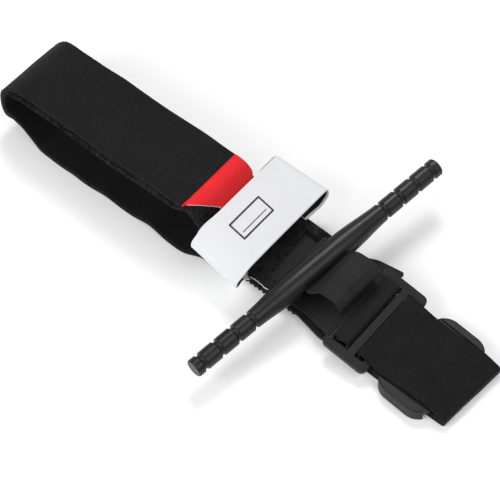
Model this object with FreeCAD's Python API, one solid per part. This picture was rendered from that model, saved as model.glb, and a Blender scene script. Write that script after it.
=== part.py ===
"""Windlass tourniquet, stored as a loop ready to slip over a limb.

Millimetres, +Z up, standing on the plane z = 0.
+X runs along the band from the open loop to the flat fold, +Y runs across it.
The origin is the bottom centre of the bounding box.
"""
import FreeCAD
import Part
import math
import os

V = FreeCAD.Vector
X_AXIS = V(1, 0, 0)
Y_AXIS = V(0, 1, 0)
Z_AXIS = V(0, 0, 1)

# ---- driving dimensions ------------------------------------------------------
BAND_W = 38.0            # hook-and-loop band, nominal 1.5 inch
BAND_T = 1.25            # two woven plies sewn along their edges
LAP = 0.1                # air between two laps of the band
CORE_W = 28.0            # inner ribbon in the tunnel between the plies
CORE_T = 0.35
TUNNEL_GAP = 0.06        # air round the inner ribbon

LOOP_X = -132.25         # outermost point of the open end of the loop
LOOP_H = 36.0            # outside height of the open loop
LOOP_R = 16.6            # outside radius of the rounded end
SLOPE_TOP = (-13.2, LOOP_H)
SLOPE_FOOT = (-0.2, 10.6)
SLOPE_R = 9.0            # bends at the top and the foot of the slope
BAND_END_X = 17.0        # the upper lap stops at the ribbon's sleeve
FOLD_X = 132.25          # pressed fold at the other end
TAIL_TOP_Z = 8.6         # outer face of the tail above the clip
TAIL_BREAK_X = 123.5      # the tail turns down to the fold here
FOLD_H = 5.4
LAP_START_X = 93.0       # the laps right of the buckle start here
DRAW_HALF = 40           # strips are drawn this wide each way, then cut to the band's plan
LOOP_Y = -5.6            # middle of the band across, at the open loop
BASE_Y = 1.6             # and at the base
RIGHT_Y = -2.1           # and right of the buckle

ROLL = 3.5               # the base leans about its near edge
ROLL_Y = -17.4
PLATE_T = 1.9
PLATE_Z = 2 * (BAND_T + LAP) + LAP
PLATE_X0 = 4.0
PLATE_HALF = 20.0
EAR_X = 46.0             # the plate starts to widen here
NEAR_EAR = (64.0, 22.8)  # end and half width of the near ear
FAR_EAR = (71.2, 27.4)   # the far ear is longer
SCALLOP_PITCH = 2.5      # round grip bumps along the plate's edges
SCALLOP_R = 1.1
WEB_T = 1.2
WEB_Z = PLATE_Z + PLATE_T + LAP
WEB_X0 = 18.0
WEB_X1 = 60.6
SLIT_X = 24.0            # the ribbon leaves its sleeve here
COVER_T = 1.0
COVER_GAP = 0.6          # between the cover's sewn sides and the ribbon

ROD_X = 41.7             # where the rod crosses the band
ROD_LEN = 152.0
ROD_Y = 0.9
ROD_Z = 17.0
ROD_YAW = -7.2           # the far end leans towards +X
KNOB_R = 4.5
WAIST_R = 3.6            # at the bottom of a grip groove
MID_R = 6.2              # radius of the middle, where the slot is
MID_HALF = 12            # half length of the middle
GROOVE_FIRST = 4.8       # first groove from each end of the rod
GROOVE_PITCH = 10.0
GROOVE_COUNT = 4
GROOVE_W = 2.4
ROD_SLOT_LEN = 31.0
ROD_SLOT_H = 3.0

RIBBON_W = 27.5          # tension ribbon
RIBBON_T = 0.9
RIBBON_Z = WEB_Z + WEB_T + LAP + RIBBON_T / 2
RIBBON_Y = 0.6
HUMP_Z = 25.6            # crest of the slack ribbon beside the rod
HUMP_X = 61.5

BUCKLE_X = 67.0          # middle of the bar that the sewn loop holds
BUCKLE_Z = 9.3
BUCKLE_Y = -1.6
BUCKLE_PITCH = 9.0       # nose down, degrees
BUCKLE_L = 24.6
BUCKLE_W = 48.6
BUCKLE_T = 3.2
BUCKLE_R = 3.0
EYE_W = 40.0             # width of both eyes of the buckle
ROUND_BAR_R = 1.8
BAR_CLEAR = 0.35         # air round the round bar, inside its loop
FRAME_BACK = 2.6         # frame behind the round bar's middle
CROSS_X = 11.3           # cross bar from the round bar
CROSS_W = 3.8
FREE_BAR_X = 18.2
FREE_BAR_T = 2.4

CLIP_X = 109.4
CLIP_Y = -2.4
CLIP_YAW = -4.0
CLIP_L = 30.0
CLIP_W = 49.0
CLIP_R = 9.0
CLIP_MOUTH = 41.6        # room for the band between the side walls
CLIP_Z0 = 0.4
CLIP_TOP = 7.2
CLIP_WEB_Z = 4.25
CLIP_WEB_T = 2.3

STRAP_W = 28.2           # writing strap, along the band
STRAP_T = 0.7
LINING_T = 0.6
LINING_GAP = 0.03        # between the strap and its lining
STRAP_X = 6.0
STRAP_Z = 23.7           # outer face of the arch above its middle
STRAP_PITCH = 16.0
STRAP_NEAR = -30.1       # outermost point of the strap's near fold
STRAP_KNEE = -19.0       # the arch drops from here to the near fold
NEAR_TOP = -4.0          # the near fold, below the outer face of the arch
NEAR_LOW = -9.8
NEAR_END = -24.0
NEAR_R = 2.85
STRAP_FAR = 35.6         # and of its far lobe
FAR_LOW = -5.0
STRAP_END = (22.5, -8.5)
ROOT_X0 = 5.0            # sewn end of the strap on the plate
ROOT_X1 = 17.5
ROOT_T = 0.8
ROOT_Y = -20.6
ROOT_L = 15.0

TIP_X = -17.5            # the red end sleeve starts here
TIP_LEN = 17.0           # slope covered by the sleeve

THREAD_R = 0.25
THREAD_LIFT = THREAD_R + 0.02   # middle of a stitch above the cloth it lies on

os.makedirs("parts", exist_ok=True)


# ---- helpers -----------------------------------------------------------------
def save(name, shape):
    """Write one node and report its volume."""
    shape.exportStep("parts/" + name + ".step")
    print("%-22s solids %2d  volume %9.1f" % (name, len(shape.Solids), shape.Volume))


def box(x0, x1, y0, y1, z0, z1):
    return Part.makeBox(x1 - x0, y1 - y0, z1 - z0, V(x0, y0, z0))


def turned(shape, centre, axis, angle):
    out = shape.copy()
    out.rotate(centre, axis, angle)
    return out


def rolled(shape):
    """Lean a piece of the base about the base's near bottom edge."""
    return turned(shape, V(0, ROLL_Y, PLATE_Z), X_AXIS, ROLL)


def unit(a, b):
    d = (b[0] - a[0], b[1] - a[1])
    n = math.hypot(*d)
    return (d[0] / n, d[1] / n)


def offset_vertices(points, side):
    """Vertices of the polyline moved sideways by side (left is positive)."""
    dirs = [unit(a, b) for a, b in zip(points, points[1:])]
    out = []
    for i, p in enumerate(points):
        d0 = dirs[max(i - 1, 0)]
        d1 = dirs[min(i, len(dirs) - 1)]
        n0 = (-d0[1], d0[0])
        n1 = (-d1[1], d1[0])
        k = side / (1 + n0[0] * n1[0] + n0[1] * n1[1])
        out.append((p[0] + (n0[0] + n1[0]) * k, p[1] + (n0[1] + n1[1]) * k))
    return out


def rounded_path(points, radii, side, plane):
    """Edges of the polyline with its corners rounded, moved sideways by side."""
    moved = offset_vertices(points, side)
    edges = []
    last = plane(*moved[0])
    for i in range(1, len(moved) - 1):
        d0 = unit(moved[i - 1], moved[i])
        d1 = unit(moved[i], moved[i + 1])
        turn = math.atan2(d0[0] * d1[1] - d0[1] * d1[0], d0[0] * d1[0] + d0[1] * d1[1])
        r = radii[i - 1] - math.copysign(1, turn) * side
        back = r * math.tan(abs(turn) / 2)
        inward = unit(d0, d1)
        reach = r / math.cos(turn / 2)
        corner = moved[i]
        a = plane(corner[0] - d0[0] * back, corner[1] - d0[1] * back)
        b = plane(corner[0] + d1[0] * back, corner[1] + d1[1] * back)
        m = plane(corner[0] + inward[0] * (reach - r), corner[1] + inward[1] * (reach - r))
        if (a - last).Length > 1e-5:
            edges.append(Part.LineSegment(last, a).toShape())
        edges.append(Part.Arc(a, m, b).toShape())
        last = b
    edges.append(Part.LineSegment(last, plane(*moved[-1])).toShape())
    return edges


def strip_face(points, radii, low, high, plane):
    """Face between two sideways offsets of one rounded path."""
    a = rounded_path(points, radii, low, plane)
    b = rounded_path(points, radii, high, plane)
    caps = [
        Part.LineSegment(a[-1].Vertexes[-1].Point, b[-1].Vertexes[-1].Point).toShape(),
        Part.LineSegment(b[0].Vertexes[0].Point, a[0].Vertexes[0].Point).toShape(),
    ]
    return Part.Face(Part.Wire(Part.__sortEdges__(a + b + caps)))


def strip(points, radii, low, high, y0, y1):
    """Strip whose side view is the rounded path, from y0 to y1 across."""
    face = strip_face(points, radii, low, high, lambda x, z: V(x, y0, z))
    return face.extrude(V(0, y1 - y0, 0))


def ease(x, x0, x1, a, b):
    t = min(max((x - x0) / (x1 - x0), 0), 1)
    return a + (b - a) * t * t * (3 - 2 * t)


def band_y(x):
    """Middle of the band across, which wanders a little along its length."""
    if x < 30:
        return ease(x, -22, 16, LOOP_Y, BASE_Y)
    return ease(x, 45, 95, BASE_Y, RIGHT_Y)


def band_edge(half):
    """Plan of one edge of the band, straight runs joined by eased curves."""
    edges = []
    spans = ((-150, -22, 1), (-22, 16, 6), (16, 45, 1), (45, 95, 6), (95, 150, 1))
    for x0, x1, n in spans:
        xs = [x0 + (x1 - x0) * i / n for i in range(n + 1)]
        pts = [V(x, band_y(x) + half, -1) for x in xs]
        if n == 1:
            edges.append(Part.LineSegment(pts[0], pts[1]).toShape())
        else:
            curve = Part.BSplineCurve()
            curve.interpolate(Points=pts, InitialTangent=X_AXIS, FinalTangent=X_AXIS)
            edges.append(curve.toShape())
    return edges


def in_plan(shape, width):
    """Keep what lies inside the band's plan, width across."""
    near = band_edge(-width / 2)
    far = band_edge(width / 2)
    ends = [
        Part.LineSegment(near[-1].Vertexes[-1].Point, far[-1].Vertexes[-1].Point).toShape(),
        Part.LineSegment(near[0].Vertexes[0].Point, far[0].Vertexes[0].Point).toShape(),
    ]
    wire = Part.Wire(Part.__sortEdges__(near + far + ends))
    return shape.common(Part.Face(wire).extrude(V(0, 0, LOOP_H + 4)))


def wide_strip(points, radii, low, high, width):
    return in_plan(strip(points, radii, low, high, -DRAW_HALF, DRAW_HALF), width)


def stitch(p, q):
    """One raised stitch between two points on a surface."""
    return Part.makeCylinder(THREAD_R, (q - p).Length, p, q - p)


def stitch_line(p, q, count, fill=0.62):
    """A row of separate stitches from p to q."""
    out = []
    for i in range(count):
        a = p + (q - p) * ((i + (1 - fill) / 2) / count)
        b = p + (q - p) * ((i + (1 + fill) / 2) / count)
        out.append(stitch(a, b))
    return out


# ---- the hook-and-loop band ---------------------------------------------------
def slope_point(distance, depth):
    """A point down the slope of the upper lap, depth below its outer face."""
    d = unit(SLOPE_TOP, SLOPE_FOOT)
    return (SLOPE_TOP[0] + d[0] * distance + d[1] * depth,
            SLOPE_TOP[1] + d[1] * distance - d[0] * depth)


def tail_route():
    points = [slope_point(TIP_LEN, 0), SLOPE_TOP, (LOOP_X, LOOP_H), (LOOP_X, 0), (FOLD_X, 0),
              (FOLD_X, FOLD_H), (TAIL_BREAK_X, TAIL_TOP_Z), (LAP_START_X, TAIL_TOP_Z)]
    return points, [SLOPE_R, LOOP_R, LOOP_R, 1.9, 1.9, 12]


def tail_lap(width):
    """Outer lap: round the loop from the end under the strap to the top of the clip."""
    points, radii = tail_route()
    return wide_strip(points, radii, 0, BAND_T, width)


def tip_zone():
    """Space over the slope that holds the red end, with its rounded nose in plan."""
    nose_x = slope_point(TIP_LEN, 0)[0]
    y_mid = band_y(nose_x) + 0.6
    half = BAND_W / 2
    points = [(TIP_X, y_mid - half - 4), (nose_x - 6.5, y_mid - half), (nose_x, y_mid - half / 2),
              (nose_x, y_mid + half), (TIP_X, y_mid + half + 4)]
    edges = rounded_path(points, [6, 6, 3], 0, lambda x, y: V(x, y, LOOP_H / 2))
    edges.append(Part.LineSegment(edges[-1].Vertexes[-1].Point, edges[0].Vertexes[0].Point).toShape())
    return Part.Face(Part.Wire(Part.__sortEdges__(edges))).extrude(V(0, 0, LOOP_H))


def tail_band():
    zone = box(TIP_X, SLIT_X, -DRAW_HALF, DRAW_HALF, LOOP_H / 2 - 4, LOOP_H + 1)
    return tail_lap(BAND_W).cut(zone)


def red_tip():
    """Coloured end of the tail with a rounded nose."""
    return tail_lap(BAND_W).common(tip_zone())


def main_route():
    """Outer face of the inner lap, from the sleeve round to the buckle."""
    d = BAND_T + LAP
    top = offset_vertices([(BAND_END_X, SLOPE_FOOT[1]), SLOPE_FOOT, SLOPE_TOP,
                           (LOOP_X, LOOP_H), (LOOP_X, 0), (0, 0)], d)
    turn = (FOLD_X - d - 0.4, d)
    lift = 2 * BAND_T + 2.5 * LAP
    points = top[:-1] + [turn, (turn[0], d + lift), (LAP_START_X, d + lift)]
    fold_r = lift / 2 - 0.005
    return points, [SLOPE_R - d, SLOPE_R + d, LOOP_R - d, LOOP_R - d, fold_r, fold_r]


def main_band():
    """Inner lap, a sleeve with a tunnel for the inner ribbon."""
    points, radii = main_route()
    sleeve = wide_strip(points, radii, 0, BAND_T, BAND_W)
    mid = BAND_T / 2
    half = CORE_T / 2 + TUNNEL_GAP
    tunnel = wide_strip(points, radii, mid - half, mid + half, CORE_W + 4 * TUNNEL_GAP)
    return sleeve.cut(tunnel)


def inner_ribbon():
    points, radii = main_route()
    mid = BAND_T / 2
    return wide_strip(points, radii, mid - CORE_T / 2, mid + CORE_T / 2, CORE_W)


def tip_stitching():
    """Two rows across the tail, just before the red end."""
    rows = []
    z = LOOP_H + THREAD_LIFT
    for x in (TIP_X - 3.4, TIP_X - 1.6):
        y = band_y(x)
        rows += stitch_line(V(x, y - 17, z), V(x, y + 17, z), 12)
    return group(rows)


def group(solids):
    return Part.makeCompound(solids)


# ---- the base under the windlass -----------------------------------------------
def scallops(x0, x1, y, side):
    """Round grip bumps along an edge of the plate."""
    out = []
    for i in range(int((x1 - x0) / SCALLOP_PITCH) + 1):
        x = x0 + SCALLOP_PITCH * i
        out.append(Part.makeCylinder(SCALLOP_R, PLATE_T, V(x, y - side * 0.5, PLATE_Z), Z_AXIS))
    return out


def stabilization_plate():
    """Stiff plate with scalloped edges, flared into two ears at the buckle end."""
    near_x, near_half = NEAR_EAR
    far_x, far_half = FAR_EAR
    pts = [(PLATE_X0, -PLATE_HALF), (EAR_X, -PLATE_HALF), (near_x - 4, -near_half), (near_x, -near_half),
           (near_x, PLATE_HALF), (far_x - 2.5, PLATE_HALF), (far_x, far_half), (far_x - 14, far_half - 2.2),
           (EAR_X, PLATE_HALF), (PLATE_X0, PLATE_HALF)]
    y_mid = BASE_Y - 1
    edges = rounded_path(pts, [8, 8, 2.0, 0.8, 1.0, 1.0, 8, 8], 0, lambda x, y: V(x, y + y_mid, PLATE_Z))
    edges.append(Part.LineSegment(edges[-1].Vertexes[-1].Point, edges[0].Vertexes[0].Point).toShape())
    plate = Part.Face(Part.Wire(Part.__sortEdges__(edges))).extrude(V(0, 0, PLATE_T))
    bumps = scallops(PLATE_X0 + 12, EAR_X - 2, y_mid - PLATE_HALF, -1)
    bumps += scallops(PLATE_X0 + 12, EAR_X - 2, y_mid + PLATE_HALF, 1)
    return rolled(plate.fuse(bumps).removeSplitter())


def base_web():
    """Smooth webbing sewn on the plate, under the ribbon."""
    y0 = BASE_Y - BAND_W / 2
    return rolled(box(WEB_X0, WEB_X1, y0, y0 + BAND_W, WEB_Z, WEB_Z + WEB_T))


def sleeve_cover():
    """Napped end of the band over the ribbon, up to the slit."""
    z = RIBBON_Z + RIBBON_T / 2 + LAP
    y0 = BASE_Y - BAND_W / 2
    flat = box(WEB_X0, SLIT_X, y0, y0 + BAND_W, z, z + COVER_T)
    sides = [box(WEB_X0, SLIT_X, y0, RIBBON_Y - RIBBON_W / 2 - COVER_GAP, WEB_Z + WEB_T + LAP, z),
             box(WEB_X0, SLIT_X, RIBBON_Y + RIBBON_W / 2 + COVER_GAP, y0 + BAND_W, WEB_Z + WEB_T + LAP, z)]
    return rolled(flat.fuse(sides).removeSplitter())


def ribbon_route():
    left = ROD_X - 8.4
    right = ROD_X + 8.2
    points = [(WEB_X0 + 1, RIBBON_Z), (ROD_X - 11.5, RIBBON_Z), (left, ROD_Z), (right, ROD_Z),
              (HUMP_X - 5.5, HUMP_Z), (HUMP_X + 3.6, HUMP_Z), (HUMP_X + 4.4, BUCKLE_Z + 4.1)]
    return points, [4, 3, 3, 4.5, 2.6]


def tension_ribbon():
    """From the slit through the rod's slot, over the slack hump, to its sewn end."""
    points, radii = ribbon_route()
    t = RIBBON_T / 2
    y0 = RIBBON_Y - RIBBON_W / 2
    return rolled(strip(points, radii, -t, t, y0, y0 + RIBBON_W))


def base_stitching():
    """Rows along both edges of the base webbing and one beside the slit."""
    z = WEB_Z + WEB_T + THREAD_LIFT
    rows = []
    for side in (-1, 1):
        y = BASE_Y + side * (BAND_W / 2 - 1.8)
        rows += stitch_line(V(SLIT_X + 1, y, z), V(WEB_X1 - 1, y, z), 12)
    return rolled(group(rows))


def slit_stitching():
    z = RIBBON_Z + RIBBON_T / 2 + LAP + COVER_T + THREAD_LIFT
    y0 = BASE_Y - 17
    row = stitch_line(V(SLIT_X - 1.2, y0, z), V(SLIT_X - 1.2, y0 + 34, z), 13)
    return rolled(group(row))


# ---- the windlass ----------------------------------------------------------------
def rod_profile():
    """Half section of the rod from one end to the other, radius upwards."""
    half = ROD_LEN / 2
    bevel = 0.5
    last_groove = GROOVE_FIRST + GROOVE_PITCH * (GROOVE_COUNT - 1) + GROOVE_W / 2
    edges = []
    p = V(0, -half, 0)

    def line_to(q, start):
        edges.append(Part.LineSegment(start, q).toShape())
        return q

    p = line_to(V(KNOB_R - bevel, -half, 0), p)
    p = line_to(V(KNOB_R, -half + bevel, 0), p)
    for i in range(GROOVE_COUNT):
        s = -half + GROOVE_FIRST + GROOVE_PITCH * i
        p = line_to(V(KNOB_R, s - GROOVE_W / 2, 0), p)
        q = V(KNOB_R, s + GROOVE_W / 2, 0)
        edges.append(Part.Arc(p, V(WAIST_R, s, 0), q).toShape())
        p = q
    start = half - last_groove
    swell = [V(KNOB_R, -start, 0), V(KNOB_R + 0.4, -start + 7, 0), V(KNOB_R + 0.95, -start + 13, 0),
             V(MID_R - 0.25, -start + 20, 0), V(MID_R, -MID_HALF, 0)]
    curve = Part.BSplineCurve()
    curve.interpolate(swell)
    edges.append(curve.toShape())
    mirror = [e.mirror(V(0, 0, 0), Y_AXIS) for e in edges]
    edges.append(Part.LineSegment(V(MID_R, -MID_HALF, 0), V(MID_R, MID_HALF, 0)).toShape())
    axis = Part.LineSegment(V(0, half, 0), V(0, -half, 0)).toShape()
    return Part.Face(Part.Wire(Part.__sortEdges__(edges + mirror + [axis])))


def windlass_rod():
    """Moulded rod with four grip grooves at each end and a slot for the ribbon."""
    rod = rod_profile().revolve(V(0, 0, 0), Y_AXIS, 360)
    slot = box(-MID_R - 1, MID_R + 1, -ROD_SLOT_LEN / 2, ROD_SLOT_LEN / 2, -ROD_SLOT_H / 2, ROD_SLOT_H / 2)
    long_edges = [e for e in slot.Edges if abs(e.Length - 2 * MID_R - 2) < 1e-6]
    slot = slot.makeFillet(1.1, long_edges)
    rod = turned(rod.cut(slot), V(0, 0, 0), Z_AXIS, ROD_YAW)
    rod.translate(V(ROD_X, ROD_Y, ROD_Z))
    return rolled(rod)


# ---- the friction buckle ------------------------------------------------------------
def on_buckle(shape):
    """Place a piece drawn with the round bar's middle at the origin."""
    out = turned(shape, V(0, 0, 0), Y_AXIS, BUCKLE_PITCH)
    out.translate(V(BUCKLE_X, BUCKLE_Y, BUCKLE_Z))
    return rolled(out)


def friction_buckle():
    """H-shaped frame: a round bar, a flat cross bar and a free bar."""
    x0 = -FRAME_BACK
    x1 = BUCKLE_L - FRAME_BACK
    half = BUCKLE_T / 2
    frame = box(x0, x1, -BUCKLE_W / 2, BUCKLE_W / 2, -half, half)
    corners = [e for e in frame.Edges if abs(e.Length - BUCKLE_T) < 1e-6]
    frame = frame.makeFillet(BUCKLE_R, corners)
    rims = [e for e in frame.Edges if abs(abs(e.CenterOfMass.z) - half) < 1e-6]
    frame = frame.makeFillet(0.6, rims)
    eye = EYE_W / 2
    frame = frame.cut(box(x0 - 1, CROSS_X - CROSS_W / 2, -eye, eye, -half - 1, half + 1))
    frame = frame.cut(box(CROSS_X + CROSS_W / 2, FREE_BAR_X, -eye, eye, -half - 1, half + 1))
    for z in (-half - 1, FREE_BAR_T / 2):
        cut_h = half + 1 - FREE_BAR_T / 2
        frame = frame.cut(box(FREE_BAR_X, x1 + 1, -eye, eye, z, z + cut_h))
    bar = Part.makeCylinder(ROUND_BAR_R, EYE_W + 2, V(0, -eye - 1, 0), Y_AXIS)
    return on_buckle(frame.fuse(bar).removeSplitter())


def band_turn():
    """The band's turn through the free eye and over the free bar."""
    bar_z = BUCKLE_Z - math.sin(math.radians(BUCKLE_PITCH)) * (FREE_BAR_X + 2)
    bar_x = BUCKLE_X + FREE_BAR_X * math.cos(math.radians(BUCKLE_PITCH))
    over = bar_z + FREE_BAR_T / 2 + 0.55 + BAND_T
    under = PLATE_Z + 1.5 * LAP
    x = bar_x - 2.9
    end = LAP_START_X - 1.3
    points = [(end, under), (x, under), (x, over), (end, over)]
    shape = strip(points, [2.2, 2.2], 0, -BAND_T, RIGHT_Y - BAND_W / 2, RIGHT_Y + BAND_W / 2)
    return rolled(shape)


def buckle_loop():
    """Webbing loop sewn to the base that holds the round bar."""
    r = ROUND_BAR_R + BAR_CLEAR + WEB_T / 2
    nose = BUCKLE_X + 7.4
    root = WEB_X1 + 0.6
    z = BUCKLE_Z
    points = [(root, z - 0.2), (BUCKLE_X - 2.5, z + r), (BUCKLE_X + 1.5, z + r), (nose, z + 0.6),
              (nose, z - r + 0.3), (BUCKLE_X - 1, z - r), (root, z - r)]
    t = WEB_T / 2
    y0 = BUCKLE_Y - BAND_W / 2
    shape = strip(points, [3, 6, 1.3, 1.3, 8], -t, t, y0, y0 + BAND_W)
    return rolled(shape)


def loop_stitching():
    """Two rows across the webbing loop, beside the ribbon's sewn end."""
    r = ROUND_BAR_R + BAR_CLEAR + WEB_T
    z = BUCKLE_Z + r + THREAD_LIFT
    rows = []
    for x in (BUCKLE_X - 0.9, BUCKLE_X + 0.8):
        rows += stitch_line(V(x, BUCKLE_Y - 17, z), V(x, BUCKLE_Y + 17, z), 12)
    return rolled(group(rows))


# ---- the windlass clip ---------------------------------------------------------------
def windlass_clip():
    """Plate with two round-cornered side walls that stand out past the band."""
    outer = box(-CLIP_L / 2, CLIP_L / 2, -CLIP_W / 2, CLIP_W / 2, CLIP_Z0, CLIP_TOP)
    corners = [e for e in outer.Edges if abs(e.Length - (CLIP_TOP - CLIP_Z0)) < 1e-6]
    outer = outer.makeFillet(CLIP_R, corners)
    rims = [e for e in outer.Edges if abs(e.CenterOfMass.z - CLIP_TOP) < 1e-6]
    outer = outer.makeFillet(0.8, rims)
    mouth = CLIP_MOUTH / 2
    ends = CLIP_L / 2 + 1
    clip = outer.cut(box(-ends, ends, -mouth, mouth, 0, CLIP_WEB_Z))
    clip = clip.cut(box(-ends, ends, -mouth, mouth, CLIP_WEB_Z + CLIP_WEB_T, CLIP_TOP + 1))
    clip.rotate(V(0, 0, 0), Z_AXIS, CLIP_YAW)
    clip.translate(V(CLIP_X, CLIP_Y, 0))
    return clip


def clip_bartacks():
    """Four dense bar tacks that hold the clip's plate to the band."""
    z = CLIP_WEB_Z + CLIP_WEB_T + THREAD_LIFT
    tacks = []
    for x in (-9.0, 9.0):
        for y in (-10.0, 10.0):
            for i in range(5):
                dx = x - 2.2 + 1.1 * i
                tacks.append(stitch(V(dx, y - 4, z), V(dx, y + 4, z)))
    out = group(tacks)
    out.rotate(V(0, 0, 0), Z_AXIS, CLIP_YAW)
    out.translate(V(CLIP_X, CLIP_Y, 0))
    return out


# ---- the writing strap ----------------------------------------------------------------
def on_strap(shape):
    """Place a piece drawn with the top of the arch at the origin."""
    out = turned(shape, V(0, 0, 0), Y_AXIS, STRAP_PITCH)
    out.translate(V(STRAP_X, 0, STRAP_Z))
    return out


def strap_route():
    """Side view across the band: near fold, arch, far lobe, end beside the base."""
    points = [(NEAR_END, NEAR_LOW), (STRAP_NEAR, NEAR_LOW), (STRAP_NEAR, NEAR_TOP), (STRAP_KNEE, 0),
              (STRAP_FAR, 0), (STRAP_FAR, FAR_LOW), STRAP_END]
    return points, [NEAR_R, 3.4, 14, 2.6, 2.8]


def strap_layer(low, high):
    points, radii = strap_route()
    x0 = -STRAP_W / 2
    face = strip_face(points, radii, low, high, lambda y, z: V(x0, y, z))
    return on_strap(face.extrude(V(STRAP_W, 0, 0)))


def writing_strap():
    """White woven strap that closes over the rod's end."""
    return strap_layer(0, -STRAP_T)


def strap_lining():
    """Black hook lining on the inside of the strap."""
    top = -STRAP_T - LINING_GAP
    return strap_layer(top, top - LINING_T)


def strap_root():
    """Sewn end of the strap, from the near fold down to its foot on the plate."""
    half = STRAP_W / 2
    drop = NEAR_LOW - 0.4
    place = FreeCAD.Placement(V(STRAP_X, 0, STRAP_Z), FreeCAD.Rotation(Y_AXIS, STRAP_PITCH))
    top = [place.multVec(V(x, NEAR_END + y, drop))
           for x, y in ((-half, 0), (half, 0), (half, ROOT_T), (-half, ROOT_T))]
    z = PLATE_Z + PLATE_T + LAP
    lean = FreeCAD.Rotation(X_AXIS, ROLL)
    pivot = V(0, ROLL_Y, PLATE_Z)
    low = [pivot + lean.multVec(V(x, ROOT_Y + y, z) - pivot)
           for x, y in ((ROOT_X0, 0), (ROOT_X1, 0), (ROOT_X1, ROOT_T), (ROOT_X0, ROOT_T))]
    wires = [Part.makePolygon(p + p[:1]) for p in (low, top)]
    wall = Part.makeLoft(wires, True, True)
    foot = rolled(box(ROOT_X0, ROOT_X1, ROOT_Y, ROOT_Y + ROOT_L, z, z + ROOT_T))
    return wall.fuse(foot).removeSplitter()


def strap_stitching():
    """Box stitch with a cross that holds the strap's sewn end."""
    z = PLATE_Z + PLATE_T + LAP + ROOT_T + THREAD_LIFT
    x0, x1 = ROOT_X0 + 1, ROOT_X1 - 1.5
    y0, y1 = ROOT_Y + 3, ROOT_Y + ROOT_L - 1
    a, b, c, d = V(x0, y0, z), V(x1, y0, z), V(x1, y1, z), V(x0, y1, z)
    rows = []
    for p, q in ((a, b), (b, c), (c, d), (d, a)):
        rows += stitch_line(p, q, 4, 0.55)
    return rolled(group(rows))


def main():
    save("tail_band", tail_band())
    save("main_band", main_band())
    save("inner_ribbon", inner_ribbon())
    save("red_tip", red_tip())
    save("tip_stitching", tip_stitching())
    save("stabilization_plate", stabilization_plate())
    save("base_web", base_web())
    save("sleeve_cover", sleeve_cover())
    save("tension_ribbon", tension_ribbon())
    save("base_stitching", base_stitching())
    save("slit_stitching", slit_stitching())
    save("windlass_rod", windlass_rod())
    save("friction_buckle", friction_buckle())
    save("band_turn", band_turn())
    save("buckle_loop", buckle_loop())
    save("loop_stitching", loop_stitching())
    save("windlass_clip", windlass_clip())
    save("clip_bartacks", clip_bartacks())
    save("writing_strap", writing_strap())
    save("strap_lining", strap_lining())
    save("strap_root", strap_root())
    save("strap_stitching", strap_stitching())


main()
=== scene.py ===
"""Looks of the windlass tourniquet: cloth, plastic, stitching, floor, light and camera.

Lengths are worked in millimetres and turned into metres by metres().
Names ending in _band, _lap, _ribbon and _web are strips of cloth along the band.
"""
import bmesh
import bpy
import math
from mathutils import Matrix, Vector, noise


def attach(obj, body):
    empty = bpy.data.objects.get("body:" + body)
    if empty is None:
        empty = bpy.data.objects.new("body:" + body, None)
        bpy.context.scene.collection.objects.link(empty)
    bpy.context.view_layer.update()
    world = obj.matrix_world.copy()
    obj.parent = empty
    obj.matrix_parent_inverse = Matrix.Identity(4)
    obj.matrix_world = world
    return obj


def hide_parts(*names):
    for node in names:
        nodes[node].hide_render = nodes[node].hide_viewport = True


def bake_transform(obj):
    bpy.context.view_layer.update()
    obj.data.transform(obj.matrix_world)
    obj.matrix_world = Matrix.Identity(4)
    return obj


MM = 0.001

# ---- driving dimensions, in millimetres, as in the CAD model apart from SLIT_X ------
BAND_HALF = 19.0         # half width of the hook-and-loop band
BAND_T = 1.25
LAP = 0.1                # air between two laps of the band
LOOP_X = -132.25         # outermost point of the open end of the loop
LOOP_H = 36.0            # outside height of the open loop
LOOP_R = 16.6
SLOPE_TOP = (-13.2, LOOP_H)
SLOPE_FOOT = (-0.2, 10.6)
SLOPE_R = 9.0
FOLD_X = 132.25          # pressed fold at the other end
FOLD_H = 5.4
TAIL_TOP_Z = 8.6         # outer face of the tail above the clip
TAIL_BREAK_X = 123.5     # the tail turns down to the fold here
LOOP_Y = -5.6            # middle of the band across, at the open loop
BASE_Y = 1.6             # and at the base
RIGHT_Y = -2.1           # and right of the buckle
ROLL = math.radians(3.5)  # the base leans about its near edge
ROLL_Y = -17.4
PLATE_Z = 2.8
WEB_Z = 4.8
WEB_T = 1.2
WEB_X0 = 18.0
WEB_X1 = 60.6
SLIT_X = 23.4            # the ribbon leaves its sleeve here, 0.6 short of the CAD's slit
ROD_X = 41.7
ROD_Z = 17.0
RIBBON_HALF = 13.75
RIBBON_T = 0.9
RIBBON_Y = 0.6
HUMP_X = 61.5            # crest of the slack ribbon beside the rod
HUMP_Z = 25.6
BUCKLE_X = 67.0          # middle of the round bar that the sewn loop holds
BUCKLE_Z = 9.3
BUCKLE_Y = -1.6
BUCKLE_PITCH = math.radians(9.0)
FREE_BAR_X = 18.2        # free bar from the round bar
ROUND_BAR_R = 1.8
CLIP_X = 109.4
CLIP_Y = -2.4
CLIP_YAW = math.radians(-4.0)
STRAP_HALF = 14.1
STRAP_T = 0.7
STRAP_X = 6.0
STRAP_Z = 23.7
STRAP_PITCH = math.radians(16.0)
TIP_X = -17.5            # the red end starts here
TIP_LEN = 17.0

# ---- cloth of the scene only, in millimetres -------------------------------------------
PLY_T = 0.5              # each of the sleeve's two plies
# (place along the band, reach, height) of each wave in the near edge of the lower run
SLACK_WAVES = ((-37.5, 8.0, 3.1), (-8.5, 6.0, 2.8), (-66.0, 7.0, 1.3), (-86.0, 5.0, 0.9))
# (place, slant, reach, height, span across) of each crease inside the open end
CREASES = ((-106, 0.45, 1.6, 1.2, (-26, -18, 2, 10)), (-99, 0.6, 1.3, 0.9, (-26, -20, -4, 4)))
CREASE_Y = -20           # the creases' places are measured at this line across

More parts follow.
